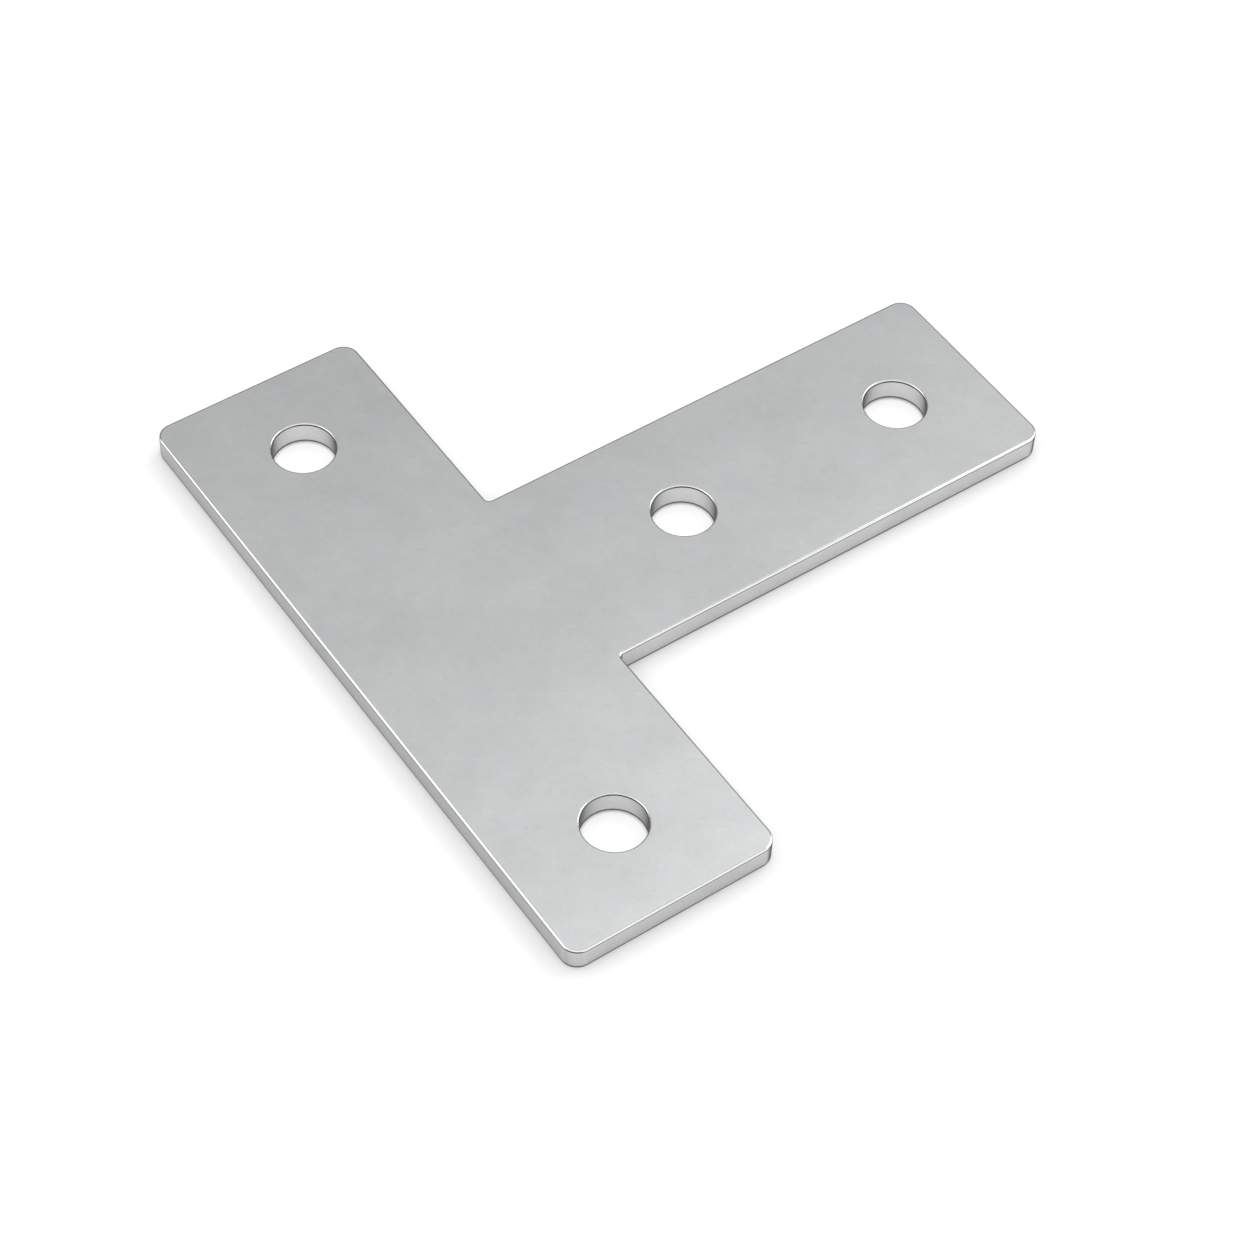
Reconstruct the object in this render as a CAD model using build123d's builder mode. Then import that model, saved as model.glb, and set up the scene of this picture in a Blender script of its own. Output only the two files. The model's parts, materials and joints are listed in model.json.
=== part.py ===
from build123d import *
import os

# A flat T-shaped plate that bolts two aluminium extrusions together, the end of one against the
# side of the other. It is cut from a single sheet, with rounded corners, softened edges and four
# plain bolt holes, all on the centre lines of its two arms.
#
# The origin is where the centre lines of the crossbar and the stem cross, on the back face that
# lies against the profiles. The crossbar runs along Y, the stem runs out along +X, and +Z is up
# through the sheet. All lengths are in millimetres.

# Sheet and outline
thickness = 3.5
crossbar_length = 98.0
crossbar_width = 30.0
stem_width = 30.0
overall_reach = 98.0  # from the crossbar's outer long edge to the end of the stem
outer_corner_radius = 2.25
inner_corner_radius = 0.7
edge_radius = 0.3  # rounding of the outline's edges, front and back

# Bolt holes
bolt_hole_diameter = 8.5
hole_to_end = 13.2  # from the last hole of each arm to the end of that arm
stem_hole_pitch = 34.4  # between the two holes of the stem
front_rim_radius = 0.2  # rounding where the punch goes in
back_rim_chamfer = 0.2  # deburring where the punch comes out

# Places that follow from the sizes above
stem_end = overall_reach - crossbar_width / 2
crossbar_hole = crossbar_length / 2 - hole_to_end
outer_stem_hole = stem_end - hole_to_end
inner_stem_hole = outer_stem_hole - stem_hole_pitch
crossbar_bolt_holes = [(0, crossbar_hole), (0, -crossbar_hole)]
stem_bolt_holes = [(inner_stem_hole, 0), (outer_stem_hole, 0)]

with BuildPart() as joining_plate:
    # A T is two rectangles. Measured from the crossing of the centre lines, its two inner corners
    # are always the nearest and its six outer corners the furthest.
    with BuildSketch() as outline:
        Rectangle(crossbar_width, crossbar_length)
        Rectangle(stem_end, stem_width, align=(Align.MIN, Align.CENTER))
        inner_corners = outline.vertices().sort_by_distance((0, 0, 0))[:2]
        fillet(inner_corners, radius=inner_corner_radius)
        outer_corners = outline.vertices().sort_by_distance((0, 0, 0))[-6:]
        fillet(outer_corners, radius=outer_corner_radius)
    extrude(amount=thickness)

    with Locations(*crossbar_bolt_holes, *stem_bolt_holes):
        Hole(radius=bolt_hole_diameter / 2)

    # The hole rims are the inner wires of the two flat faces.
    back_rims = joining_plate.faces().sort_by(Axis.Z)[0].inner_wires().edges()
    chamfer(back_rims, length=back_rim_chamfer)
    front_rims = joining_plate.faces().sort_by(Axis.Z)[-1].inner_wires().edges()
    fillet(front_rims, radius=front_rim_radius)

    # The outline is their outer wire.
    back_face, *_, front_face = joining_plate.faces().sort_by(Axis.Z)
    outline_edges = back_face.outer_wire().edges() + front_face.outer_wire().edges()
    fillet(outline_edges, radius=edge_radius)

joining_plate.part.label = "joining_plate"

os.makedirs("parts", exist_ok=True)
export_step(joining_plate.part, "parts/joining_plate.step")
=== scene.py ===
import json
import math

import bpy
from bpy.props import FloatProperty, FloatVectorProperty, PointerProperty
from bpy.types import Operator, Panel, PropertyGroup
from mathutils import Matrix, Vector


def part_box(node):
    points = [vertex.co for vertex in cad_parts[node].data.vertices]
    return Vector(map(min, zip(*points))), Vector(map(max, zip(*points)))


bl_info = {
    "name": "Joining Plate",
    "version": (1, 0, 0),
    "blender": (4, 5, 0),
    "location": "3D View > Sidebar > Joining Plate",
    "description": "Gives a T-shaped joining plate its plated finish and sets it in a small studio",
    "category": "Object",
}

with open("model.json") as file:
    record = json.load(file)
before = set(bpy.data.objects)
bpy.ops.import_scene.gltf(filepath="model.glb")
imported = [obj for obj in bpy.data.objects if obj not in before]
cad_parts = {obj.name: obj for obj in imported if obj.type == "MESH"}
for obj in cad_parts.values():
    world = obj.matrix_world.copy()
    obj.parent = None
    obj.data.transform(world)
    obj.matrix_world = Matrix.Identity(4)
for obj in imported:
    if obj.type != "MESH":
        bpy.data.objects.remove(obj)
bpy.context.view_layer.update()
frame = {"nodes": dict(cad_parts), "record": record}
PLATE = "joining_plate"
PLATE_LOW, PLATE_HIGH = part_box(PLATE)
FRONT_FACE = PLATE_HIGH.z
THICKNESS = PLATE_HIGH.z - PLATE_LOW.z
MILLIMETRE = 0.001
HOLES = [
    (Vector(mount["pos_m"]), mount["dims"]["r_mm"] * MILLIMETRE)
    for mount in frame["record"]["mounts"] if mount["kind"] == "bore"
]

# A mask rises from 0 at a band's first number to 1 at its second. These bands are of the upward
# part of the surface normal, which is 1 on the front face, 0 on a wall and -1 on the back face.
BACK_FACE_ENDS = (-0.95, -0.80)
WALL_ENDS = (0.15, 0.35)
# The rounded upper edges that are drawn lighter: partly wear, partly a painted highlight.
WEAR_AND_HIGHLIGHT_STARTS = (0.20, 0.45)
WEAR_AND_HIGHLIGHT_ENDS = (0.78, 0.90)
# Where the front face turns into the rounded edges: a thin painted shade line.
BEND_SHADE_STARTS = (0.955, 0.975)
BEND_SHADE_ENDS = (0.9975, 0.9995)
FRONT_FACE_STARTS = (0.985, 0.997)

# Of the east part of the normal times its north part, which is 0.5 in the middle of a corner.
CORNER_STARTS = (0.15, 0.35)

# Of the distance below the front face, in metres, for the painted shade line round the corners.
CORNER_SHADE_LINE_STARTS = (0.00013, 0.00019)
CORNER_SHADE_LINE_ENDS = (0.00028, 0.00034)

# Of the noise that makes the handling marks.
RAISED_MARKS_END = (0.22, 0.34)
SUNK_MARKS_START = (0.66, 0.78)

# In shares of a line's reach, of a hole's radius and of the height of a card's dark foot.
# The rim and foot bands are of the painted shade lines along the walls' top and foot.
RIM_SHADE_LINE_ENDS = (0.85, 1.15)
FOOT_SHADE_LINE_ENDS = (0.8, 1.2)
HOLE_RIM_ENDS = (1.02, 1.07)
HOLE_FLOOR_ENDS = (0.90, 1.02)
DARK_FOOT_ENDS = (0.9, 1.2)


# ---------------------------------------------------------------- shader maths


class Wire:
    """A shader socket that can be added, subtracted and multiplied like a number."""

    def __init__(self, bench, socket):
        self.bench = bench
        self.socket = socket

    def maths(self, operation, *values):
        sockets = dict(zip(("Value", "Value_001"), values))
        return self.bench.node("ShaderNodeMath", {"operation": operation}, sockets)

    def __add__(self, other):
        return self.maths("ADD", self, other)

    def __sub__(self, other):
        return self.maths("SUBTRACT", self, other)

    def __mul__(self, other):
        return self.maths("MULTIPLY", self, other)

    def __abs__(self):
        return self.maths("ABSOLUTE", self)

    def __rsub__(self, other):
        return self.maths("SUBTRACT", other, self)

    __radd__ = __add__
    __rmul__ = __mul__

    def rise(self, start, end):
        """0 below start, 1 above end, and a smooth step between them."""
        sockets = {"Value": self, "From Min": start, "From Max": end}
        return self.bench.node("ShaderNodeMapRange", {"interpolation_type": "SMOOTHSTEP"}, sockets)

    def at_least(self, other):
        """The larger of the two."""
        return self.maths("MAXIMUM", self, other)


class ShaderBench:
    """The node tree of one material or of the world, emptied and ready for new nodes."""

    def __init__(self, owner):
        owner.use_nodes = True
        self.tree = owner.node_tree
        self.tree.nodes.clear()

    def node(self, kind, settings=None, sockets=None, out=None):
        """Adds a node, sets its settings, then its sockets, and gives back one of its outputs."""
        made = self.tree.nodes.new(kind)
        for name, value in (settings or {}).items():
            setattr(made, name, value)
        inputs = {socket.identifier: socket for socket in made.inputs}
        for name, value in (sockets or {}).items():
            if isinstance(value, Wire):
                self.tree.links.new(value.socket, inputs[name])
            else:
                inputs[name].default_value = value
        if not made.outputs:
            return None
        outputs = {socket.identifier: socket for socket in made.outputs}
        return Wire(self, outputs[out] if out else next(s for s in made.outputs if s.enabled))

    def parts(self, vector):
        """The X, Y and Z of a vector."""
        return [self.node("ShaderNodeSeparateXYZ", {}, {"Vector": vector}, out=axis) for axis in "XYZ"]

    def scaled(self, vector, factors):
        """A vector with its X, Y and Z each multiplied by a factor."""
        sockets = {"Vector": vector, "Vector_001": factors}
        return self.node("ShaderNodeVectorMath", {"operation": "MULTIPLY"}, sockets)

    def noise(self, place, size, detail, roughness=0.5, stretch=1.0):
        """Soft noise around 0.5 in blotches of about the given size, stretched along X."""
        spot = self.scaled(place, (1.0 / stretch, 1.0, 1.0))
        sockets = {"Vector": spot, "Scale": 1.0 / size, "Detail": detail, "Roughness": roughness}
        return self.node("ShaderNodeTexNoise", {"normalize": True}, sockets, out="Fac")

    def mix_colour(self, factor, first, second):
        settings = {"data_type": "RGBA", "blend_type": "MIX"}
        sockets = {"Factor_Float": factor, "A_Color": first, "B_Color": second}
        return self.node("ShaderNodeMix", settings, sockets, out="Result_Color")


def grey(level):
    return (level, level, level, 1.0)


def shares_of(size, band):
    """A band that is given in shares of a size, in the size's own unit."""
    return [share * size for share in band]


def in_holes(bench, place, edge):
    """1 in the plate's holes and 0 outside, falling across a band of hole radii."""
    flat_place = bench.scaled(place, (1.0, 1.0, 0.0))
    inside = 0.0
    for centre, radius in HOLES:
        sockets = {"Vector": flat_place, "Vector_001": (centre.x, centre.y, 0.0)}
        off_axis = bench.node("ShaderNodeVectorMath", {"operation": "DISTANCE"}, sockets, out="Value")
        inside = inside + (1.0 - off_axis.rise(*shares_of(radius, edge)))
    return inside


# ---------------------------------------------------------------- the plate's finish


class PlateFinish(PropertyGroup):
    cool_colour: FloatVectorProperty(
        name="Cool colour", description="Colour of the bright zinc plating where it is bluish",
        default=(0.652, 0.659, 0.693), size=3, min=0.0, max=1.0, subtype="COLOR",
    )
    warm_colour: FloatVectorProperty(
        name="Warm colour",
        description="Colour of the bright zinc plating where it is least bluish",
        default=(0.646, 0.669, 0.638), size=3, min=0.0, max=1.0, subtype="COLOR",
    )
    wall_colour: FloatVectorProperty(
        name="Wall colour", description="Colour of the plating on the cut walls and in the holes",
        default=(0.632, 0.628, 0.630), size=3, min=0.0, max=1.0, subtype="COLOR",
    )
    # Lighter colour on the rounded upper edges and hole rims: partly burnished wear, partly a painted
    # highlight.
    wear_and_highlight_colour: FloatVectorProperty(
        name="Worn edge colour",
        description="Colour of the plating where handling has burnished the upper edges",
        default=(0.92, 0.93, 0.93), size=3, min=0.0, max=1.0, subtype="COLOR",
    )
    # Painted shade lines on the walls: one under the bright rims and one at the foot, where the wall
    # meets the floor.
    rim_shade_line_reach: FloatProperty(
        name="Rim line reach",
        description="How far below the front face the dull line under the bright rims ends",
        default=0.00038, min=0.0, max=0.002, unit="LENGTH",
    )
    foot_shade_line_reach: FloatProperty(
        name="Foot line reach",
        description="How far above the back face the dull line at the walls' foot ends",
        default=0.00044, min=0.0, max=0.002, unit="LENGTH",
    )
    shade_line_depth: FloatProperty(
        name="Dull line depth", description="How much darker the dull lines are than the wall",
        default=0.78, min=0.0, max=1.0, subtype="FACTOR",
    )
    # A painted shade line where the front face turns into the rounded edges.
    bend_shade_depth: FloatProperty(
        name="Bend line depth",
        description="How much darker the plating is where the front face bends into the edges",
        default=0.15, min=0.0, max=1.0, subtype="FACTOR",
    )
    # A painted shade line, mixed towards black, under the bright rim round each corner.
    corner_shade_depth: FloatProperty(
        name="Corner line depth",
        description="How dark the line is where the bright rim turns round a corner",
        default=0.85, min=0.0, max=1.0, subtype="FACTOR",
    )
    grazing_tint: FloatVectorProperty(
        name="Grazing tint", description="How much of a glancing reflection the plating keeps",
        default=(0.60, 0.61, 0.61), size=3, min=0.0, max=1.0, subtype="COLOR",
    )
    edge_grazing_tint: FloatProperty(
        name="Edge grazing tint",
        description="How much of a glancing reflection the edges, the holes and the corner walls keep",
        default=0.02, min=0.0, max=1.0, subtype="FACTOR",
    )
    # Share of the lighter edge colour, partly wear and partly painted highlight, that the hole rims
    # get.
    hole_rim_wear_and_highlight: FloatProperty(
        name="Hole rim wear",
        description="How burnished the holes' rims are beside the plate's own edges",
        default=0.60, min=0.0, max=1.0, subtype="FACTOR",
    )
    roughness: FloatProperty(
        name="Roughness", description="How satin the plating is",
        default=0.32, min=0.05, max=1.0, subtype="FACTOR",
    )
    edge_roughness: FloatProperty(
        name="Edge roughness", description="How satin the rounded upper edges are",
        default=0.10, min=0.05, max=1.0, subtype="FACTOR",
    )
    cloud_size: FloatProperty(
        name="Cloud size", description="Size of the largest soft clouds in the plating",
        default=0.020, min=0.001, max=0.1, unit="LENGTH",
    )
    cloud_depth: FloatProperty(
        name="Cloud depth",
        description="How much lighter and darker the clouds are than the metal colour",
        default=0.19, min=0.0, max=1.0, subtype="FACTOR",
    )
    haze_size: FloatProperty(
        name="Haze size",
        description="Size of the patches in which the plating is more or less satin",
        default=0.020 / 3, min=0.0005, max=0.1, unit="LENGTH",
    )
    haze_depth: FloatProperty(
        name="Haze depth", description="How much the roughness changes between those patches",
        default=0.06, min=0.0, max=0.5, subtype="FACTOR",
    )
    cast_size: FloatProperty(
        name="Cast size",
        description="Size of the patches in which the plating turns cooler or warmer",
        default=0.006, min=0.0005, max=0.1, unit="LENGTH",
    )
    fleck_size: FloatProperty(
        name="Fleck size", description="Width of the small handling marks in the plating",
        default=0.0006, min=0.0001, max=0.01, unit="LENGTH",
    )
    fleck_length: FloatProperty(
        name="Fleck length", description="How many times longer than wide the handling marks are",
        default=2.2, min=1.0, max=50.0,
    )
    fleck_bearing: FloatProperty(
        name="Fleck bearing",
        description="Direction in which the handling marks run, turned from the stem's direction",
        default=math.radians(135), subtype="ANGLE",
    )
    fleck_depth: FloatProperty(
        name="Fleck depth", description="Depth of the small handling marks",
        default=0.0000050, min=0.0, max=0.001, unit="LENGTH",
    )
    fleck_shade: FloatProperty(
        name="Fleck shade",
        description="How much darker or lighter the small handling marks are than the metal",
        default=0.05, min=0.0, max=1.0, subtype="FACTOR",
    )
    grain_size: FloatProperty(
        name="Grain size", description="Width of the finest grain of the plating",
        default=0.0003, min=0.00005, max=0.01, unit="LENGTH",
    )
    grain_height: FloatProperty(
        name="Grain height", description="Depth of the finest grain",
        default=0.0000008, min=0.0, max=0.001, unit="LENGTH",
    )


def plating_material(finish):
    """Bright zinc plating: soft clouds, small handling marks, neutral walls, and upper edges lighter
    partly from wear and partly as a painted highlight; painted shade lines darken the bends, the walls'
    top and foot, and the corners.
    """
    material = bpy.data.materials.new("bright_plating")
    bench = ShaderBench(material)
    place = bench.node("ShaderNodeTexCoord", out="Object")
    facing = bench.node("ShaderNodeTexCoord", out="Normal")
    along = bench.node("ShaderNodeVectorRotate", {"rotation_type": "Z_AXIS"},
                       {"Vector": place, "Angle": -finish.fleck_bearing})

    # The parts of the plate, each as a mask
    east, north, upward = bench.parts(facing)
    height = bench.parts(place)[2] - PLATE_LOW.z
    depth = THICKNESS - height
    wall = (1.0 - upward.rise(*WALL_ENDS)) * upward.rise(*BACK_FACE_ENDS)
    rounding = upward.rise(*WALL_ENDS) * (1.0 - upward.rise(*FRONT_FACE_STARTS))
    # Painted shade: a thin darker line where the front face turns into the rounded edges.
    bend_shade = upward.rise(*BEND_SHADE_STARTS) * (1.0 - upward.rise(*BEND_SHADE_ENDS))
    corner = abs(east * north).rise(*CORNER_STARTS)
    in_hole = in_holes(bench, place, HOLE_RIM_ENDS)
    edges = rounding.at_least(wall * in_hole.at_least(corner))
    # Lighter metal on the rounded upper edges and hole rims: partly wear, partly a painted highlight.
    wear_and_highlight = upward.rise(*WEAR_AND_HIGHLIGHT_STARTS) * (1.0 - upward.rise(*WEAR_AND_HIGHLIGHT_ENDS))
    wear_and_highlight = wear_and_highlight * (1.0 - in_hole * (1.0 - finish.hole_rim_wear_and_highlight))
    # Painted shade: darker lines along the top and the foot of the walls.
    rim_shade_line = 1.0 - depth.rise(*shares_of(finish.rim_shade_line_reach, RIM_SHADE_LINE_ENDS))
    foot_shade_line = 1.0 - height.rise(*shares_of(finish.foot_shade_line_reach, FOOT_SHADE_LINE_ENDS))
    painted_shade_lines = wall * foot_shade_line.at_least(rim_shade_line)
    # Painted shade: a dark line under the bright rim round each corner.
    corner_shade_line = corner * depth.rise(*CORNER_SHADE_LINE_STARTS) * (1.0 - depth.rise(*CORNER_SHADE_LINE_ENDS))

    # The patterns of the plating
    cast = bench.noise(place, finish.cast_size, detail=4.0, roughness=0.7)
    marks = bench.noise(along, finish.fleck_size, detail=1.0, stretch=finish.fleck_length)
    flecks = marks.rise(*SUNK_MARKS_START) + marks.rise(*RAISED_MARKS_END) - 1.0
    clouds = bench.noise(along, finish.cloud_size, detail=6.0, roughness=0.85, stretch=1.15)
    haze = bench.noise(place, finish.haze_size, detail=4.0, roughness=0.7)
    grain = bench.noise(along, finish.grain_size, detail=2.0, roughness=0.6, stretch=1.5)

    shade = 1.0 + (clouds - 0.5) * (2.0 * finish.cloud_depth)
    shade = shade * (1.0 - flecks * finish.fleck_shade)
    # The painted shade line at the bend darkens the colour here.
    shade = shade * (1.0 - bend_shade * finish.bend_shade_depth)
    # The painted shade lines along the walls' top and foot darken the colour here.
    shade = shade * (1.0 - painted_shade_lines * finish.shade_line_depth)
    colour = bench.mix_colour(cast, (*finish.cool_colour, 1.0), (*finish.warm_colour, 1.0))
    colour = bench.mix_colour(wall, colour, (*finish.wall_colour, 1.0))
    colour = bench.node("ShaderNodeVectorMath", {"operation": "SCALE"},
                        {"Vector": colour, "Scale": shade})
    # Here the rounded upper edges get their lighter colour, partly wear and partly a painted highlight.
    colour = bench.mix_colour(wear_and_highlight, colour, (*finish.wear_and_highlight_colour, 1.0))
    # The painted shade line round the corners is mixed towards black here.
    colour = bench.mix_colour(corner_shade_line * finish.corner_shade_depth, colour, grey(0.0))

    satin = finish.roughness + (haze - 0.5) * finish.haze_depth
    roughness = satin + rounding * (finish.edge_roughness - satin)

    relief = grain * finish.grain_height - flecks * finish.fleck_depth
    normal = bench.node("ShaderNodeBump", {}, {"Height": relief, "Strength": 1.0, "Distance": 1.0})

    def metal(glancing):
        return bench.node("ShaderNodeBsdfPrincipled", {"distribution": "MULTI_GGX"}, {
            "Base Color": colour,
            "Metallic": 1.0,
            "Roughness": roughness,
            "Specular Tint": glancing,
            "Normal": normal,
        })

    face_metal = metal((*finish.grazing_tint, 1.0))
    edge_metal = metal(grey(finish.edge_grazing_tint))
    surface = bench.node("ShaderNodeMixShader", {},
                         {"Fac": edges, "Shader": face_metal, "Shader_001": edge_metal})
    bench.node("ShaderNodeOutputMaterial", {}, {"Surface": surface})
    return material


class PLATE_OT_finish_metal(Operator):
    """Gives the steel plate its satin plated finish"""

    bl_idname = "joining_plate.finish_metal"
    bl_label = "Finish Plate"
    bl_options = {"REGISTER", "UNDO"}

    def execute(self, context):
        plate = frame["nodes"][PLATE]
        plate.data.materials.clear()
        plate.data.materials.append(plating_material(context.scene.plate_finish))
        return {"FINISHED"}


# ---------------------------------------------------------------- the studio


class PlateStudio(PropertyGroup):
    floor_radius: FloatProperty(
        name="Floor radius", description="Reach of the round white floor",
        default=3.0, min=0.2, unit="LENGTH",
    )
    floor_colour: FloatProperty(
        name="Floor paint", description="Share of the light that the floor's paint gives back",
        default=0.50, min=0.0, max=1.0, subtype="FACTOR",
    )
    floor_glow: FloatProperty(
        name="Floor glow",
        description="Brightness that the floor adds for the eye and for reflections",
        default=0.50, min=0.0, max=1.0, subtype="FACTOR",
    )
    # Painted shadow: how much of the floor's glow is taken away near the plate.
    painted_contact_shadow: FloatProperty(
        name="Contact fade", description="Share of the floor's glow that fades near the plate",
        default=0.62, min=0.0, max=1.0, subtype="FACTOR",
    )
    # Painted light: extra floor brightness inside the holes only.
    painted_hole_light: FloatProperty(
        name="Hole glow",
        description="Brightness that the floor adds inside the holes, so that they stay white",
        default=0.12, min=0.0, max=1.0, subtype="FACTOR",
    )
    # Reach of the painted contact shadow in the floor's glow.
    painted_shadow_reach: FloatProperty(
        name="Contact reach", description="How near to the plate the floor's own glow fades",
        default=0.0045, min=0.0, unit="LENGTH",
    )
    room_light: FloatProperty(
        name="Room light", description="Strength of the even light that comes from all around",
        default=1.0, min=0.0, max=2.0,
    )
    left_bearing: FloatProperty(
        name="Left softbox bearing",
        description="Direction of the left softbox, turned from the stem's direction",
        default=math.radians(150), subtype="ANGLE",
    )
    left_power: FloatProperty(
        name="Left softbox power", description="Power of the softbox on the left",
        default=3.0, min=0.0, unit="POWER",
    )
    right_bearing: FloatProperty(
        name="Right softbox bearing",
        description="Direction of the right softbox, turned from the stem's direction",
        default=math.radians(10), subtype="ANGLE",
    )
    right_power: FloatProperty(
        name="Right softbox power", description="Power of the softbox on the right",
        default=9.0, min=0.0, unit="POWER",
    )
    side_height: FloatProperty(
        name="Side softbox height",
        description="Height of the left and right softboxes as an angle above the floor",
        default=math.radians(42), subtype="ANGLE",
    )
    softbox_side: FloatProperty(
        name="Softbox side", description="Side of each square softbox",
        default=1.2, min=0.05, unit="LENGTH",
    )
    softbox_distance: FloatProperty(
        name="Softbox distance", description="From the plate to each softbox",
        default=1.6, min=0.1, unit="LENGTH",
    )
    rear_distance: FloatProperty(
        name="Rear card distance", description="From the plate to the card behind it",
        default=0.5, min=0.1, unit="LENGTH",
    )
    rear_height: FloatProperty(
        name="Rear card height", description="Height of the card behind the plate",
        default=0.83, min=0.01, unit="LENGTH",
    )
    rear_bearing: FloatProperty(
        name="Rear card bearing",
        description="Direction of the card behind the plate, from the stem's direction",
        default=math.radians(67.5), subtype="ANGLE",
    )
    rear_width: FloatProperty(
        name="Rear card width", description="Width of the card behind the plate",
        default=1.6, min=0.01, unit="LENGTH",
    )
    rear_dark_height: FloatProperty(
        name="Rear card dark height", description="How high the dark foot of the rear card reaches",
        default=0.305, min=0.0, unit="LENGTH",
    )
    rear_top_shade: FloatProperty(
        name="Rear card top shade", description="Greyness of the rear card above its dark foot",
        default=0.60, min=0.0, max=1.0, subtype="FACTOR",
    )
    rear_dark_shade: FloatProperty(
        name="Rear card dark shade", description="Greyness of the rear card's dark foot",
        default=0.10, min=0.0, max=1.0, subtype="FACTOR",
    )
    camera_bearing: FloatProperty(
        name="Camera bearing",
        description="Direction that the camera looks in, turned from the stem's direction",
        default=math.radians(53.05), subtype="ANGLE",
    )
    camera_tilt: FloatProperty(
        name="Camera tilt", description="How far the camera looks down",
        default=math.radians(51.1), subtype="ANGLE",
    )
    camera_roll: FloatProperty(
        name="Camera roll", description="How far the camera leans to its left",
        default=math.radians(3.01), subtype="ANGLE",
    )
    camera_distance: FloatProperty(
        name="Camera distance", description="From the camera to the point that it looks at",
        default=0.41754, min=0.05, unit="LENGTH",
    )
    camera_lens: FloatProperty(
        name="Camera lens", description="Focal length on a 36 mm wide sensor",
        default=95.68, min=10.0, unit="CAMERA",
    )
    aim: FloatVectorProperty(
        name="Aim", description="Point on the front face at the middle of the picture",
        default=(0.01832, -0.0119, FRONT_FACE), size=3, subtype="XYZ", unit="LENGTH",
    )


def bearing_vector(bearing, tilt=0.0):
    """Unit vector that points along a bearing, turned from +X toward +Y, and down by tilt."""
    level = math.cos(tilt)
    return Vector((level * math.cos(bearing), level * math.sin(bearing), -math.sin(tilt)))


def add_floor(studio):
    """A round pale floor that shows white, with the plate's real shadow on its paint, a painted contact
    shadow where its glow fades near the plate, and painted light that keeps it white inside the holes.
    """
    bpy.ops.mesh.primitive_circle_add(vertices=96, radius=studio.floor_radius, fill_type="NGON")
    floor = bpy.context.object
    floor.name = "studio_floor"

    material = bpy.data.materials.new("white_floor")
    bench = ShaderBench(material)
    rays = {name: bench.node("ShaderNodeLightPath", out=name)
            for name in ("Is Camera Ray", "Is Glossy Ray", "Is Transmission Ray")}
    shown = rays["Is Camera Ray"].at_least(rays["Is Glossy Ray"]).at_least(rays["Is Transmission Ray"])
    paint = bench.node("ShaderNodeBsdfDiffuse", {}, {"Color": grey(studio.floor_colour)})
    open_floor = bench.node("ShaderNodeAmbientOcclusion", {"samples": 8},
                            {"Distance": studio.painted_shadow_reach}, out="AO")
    under_hole = in_holes(bench, bench.node("ShaderNodeTexCoord", out="Object"), HOLE_FLOOR_ENDS)
    # Painted contact shadow: the glow fades where the plate is near, but not under the holes.
    glow_left_by_painted_shadow = 1.0 - (1.0 - open_floor) * (1.0 - under_hole) * studio.painted_contact_shadow
    # Painted light under the holes adds to the floor's glow there.
    level = shown * (glow_left_by_painted_shadow * studio.floor_glow + under_hole * studio.painted_hole_light)
    glow_colour = bench.mix_colour(level, grey(0.0), grey(1.0))
    glow = bench.node("ShaderNodeEmission", {}, {"Color": glow_colour, "Strength": 1.0})
    surface = bench.node("ShaderNodeAddShader", {}, {"Shader": paint, "Shader_001": glow})
    bench.node("ShaderNodeOutputMaterial", {}, {"Surface": surface})
    floor.data.materials.append(material)


def light_the_room(studio):
    """Even white light from all around."""
    world = bpy.data.worlds.new("studio_room")
    bpy.context.scene.world = world
    bench = ShaderBench(world)
    room = bench.node("ShaderNodeBackground", {}, {"Color": grey(1.0), "Strength": studio.room_light})
    bench.node("ShaderNodeOutputWorld", {}, {"Surface": room})


def add_softbox(name, target, offset, side, power):
    """A square lamp that faces the target from an offset."""
    bpy.ops.object.light_add(type="AREA", location=target + offset)
    lamp = bpy.context.object
    lamp.name = name
    lamp.rotation_euler = (-offset).to_track_quat("-Z", "Y").to_euler()
    lamp.data.shape = "SQUARE"
    lamp.data.size = side
    lamp.data.energy = power


def add_card(name, foot, bearing, width, height, dark_height, dark_shade, top_shade):
    """An upright card that only reflections see, dark up to a height and lighter above it."""
    bpy.ops.mesh.primitive_plane_add(size=1.0)
    card = bpy.context.object
    card.name = name
    stand = Matrix.Rotation(bearing - math.pi / 2, 4, "Z") @ Matrix.Rotation(math.pi / 2, 4, "X")
    shape = Matrix.Diagonal((width, height, 1.0, 1.0))
    card.data.transform(Matrix.Translation(foot + Vector((0, 0, height / 2))) @ stand @ shape)

    material = bpy.data.materials.new(name + "_paper")
    bench = ShaderBench(material)
    above_floor = bench.parts(bench.node("ShaderNodeTexCoord", out="Object"))[2]
    above_dark = above_floor.rise(*shares_of(dark_height, DARK_FOOT_ENDS))
    shade = bench.mix_colour(above_dark, grey(dark_shade), grey(top_shade))
    paper = bench.node("ShaderNodeEmission", {}, {"Color": shade})
    bench.node("ShaderNodeOutputMaterial", {}, {"Surface": paper})
    card.data.materials.append(material)

    card.visible_camera = False
    card.visible_diffuse = False
    card.visible_shadow = False
    card.visible_transmission = False


def add_camera(studio):
    """The camera, which becomes the scene's own."""
    aim = Vector(studio.aim)
    look = bearing_vector(studio.camera_bearing, studio.camera_tilt)
    bpy.ops.object.camera_add(location=aim - look * studio.camera_distance)
    camera = bpy.context.object
    camera.name = "studio_camera"
    level = look.to_track_quat("-Z", "Y").to_matrix()
    roll = Matrix.Rotation(studio.camera_roll, 3, "Z")
    camera.rotation_euler = (level @ roll).to_euler()
    camera.data.sensor_width = 36.0
    camera.data.lens = studio.camera_lens
    camera.data.clip_start = 0.01
    camera.data.clip_end = 20.0
    bpy.context.scene.camera = camera


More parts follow.
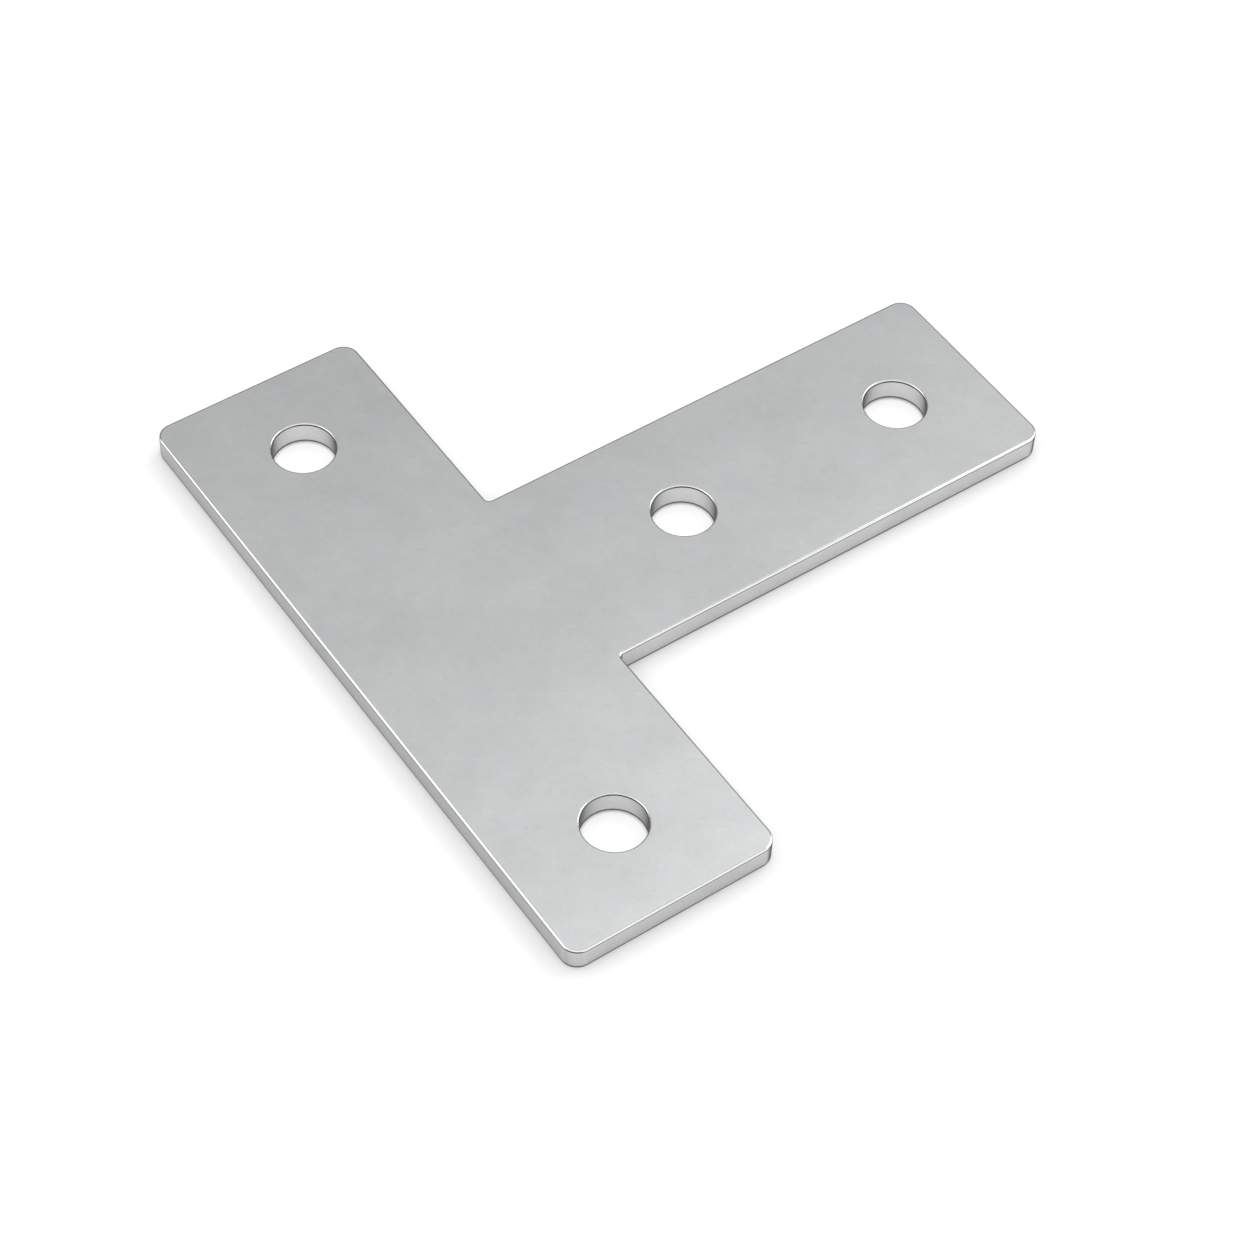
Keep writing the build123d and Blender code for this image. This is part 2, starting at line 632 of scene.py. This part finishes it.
class PLATE_OT_build_stage(Operator):
    """Adds the white floor, the soft studio light and the camera"""

    bl_idname = "joining_plate.build_stage"
    bl_label = "Build Stage"
    bl_options = {"REGISTER", "UNDO"}

    def execute(self, context):
        studio = context.scene.plate_studio
        bpy.ops.object.select_all(action="DESELECT")
        add_floor(studio)
        light_the_room(studio)
        centre = Vector(((PLATE_LOW.x + PLATE_HIGH.x) / 2, 0.0, 0.0))
        for name, bearing, power in (
            ("left_softbox", studio.left_bearing, studio.left_power),
            ("right_softbox", studio.right_bearing, studio.right_power),
        ):
            offset = bearing_vector(bearing, -studio.side_height) * studio.softbox_distance
            add_softbox(name, centre, offset, studio.softbox_side, power)
        rear = bearing_vector(studio.rear_bearing) * studio.rear_distance
        add_card("rear_card", centre + rear, studio.rear_bearing, studio.rear_width, studio.rear_height,
                 studio.rear_dark_height, studio.rear_dark_shade, studio.rear_top_shade)
        add_camera(studio)
        context.scene.view_settings.view_transform = "Standard"
        return {"FINISHED"}


# ---------------------------------------------------------------- the add-on


class VIEW3D_PT_joining_plate(Panel):
    bl_label = "Joining Plate"
    bl_idname = "VIEW3D_PT_joining_plate"
    bl_space_type = "VIEW_3D"
    bl_region_type = "UI"
    bl_category = "Joining Plate"

    def draw(self, context):
        layout = self.layout
        for operator, settings in (
            (PLATE_OT_finish_metal, context.scene.plate_finish),
            (PLATE_OT_build_stage, context.scene.plate_studio),
        ):
            box = layout.box()
            box.operator(operator.bl_idname)
            for name in settings.__annotations__:
                box.prop(settings, name)


CLASSES = (
    PlateFinish,
    PlateStudio,
    PLATE_OT_finish_metal,
    PLATE_OT_build_stage,
    VIEW3D_PT_joining_plate,
)


def register():
    for cls in CLASSES:
        bpy.utils.register_class(cls)
    bpy.types.Scene.plate_finish = PointerProperty(type=PlateFinish)
    bpy.types.Scene.plate_studio = PointerProperty(type=PlateStudio)


def unregister():
    del bpy.types.Scene.plate_studio
    del bpy.types.Scene.plate_finish
    for cls in reversed(CLASSES):
        bpy.utils.unregister_class(cls)


def main():
    register()
    bpy.ops.joining_plate.finish_metal()
    bpy.ops.joining_plate.build_stage()


if __name__ == "__main__":
    main()
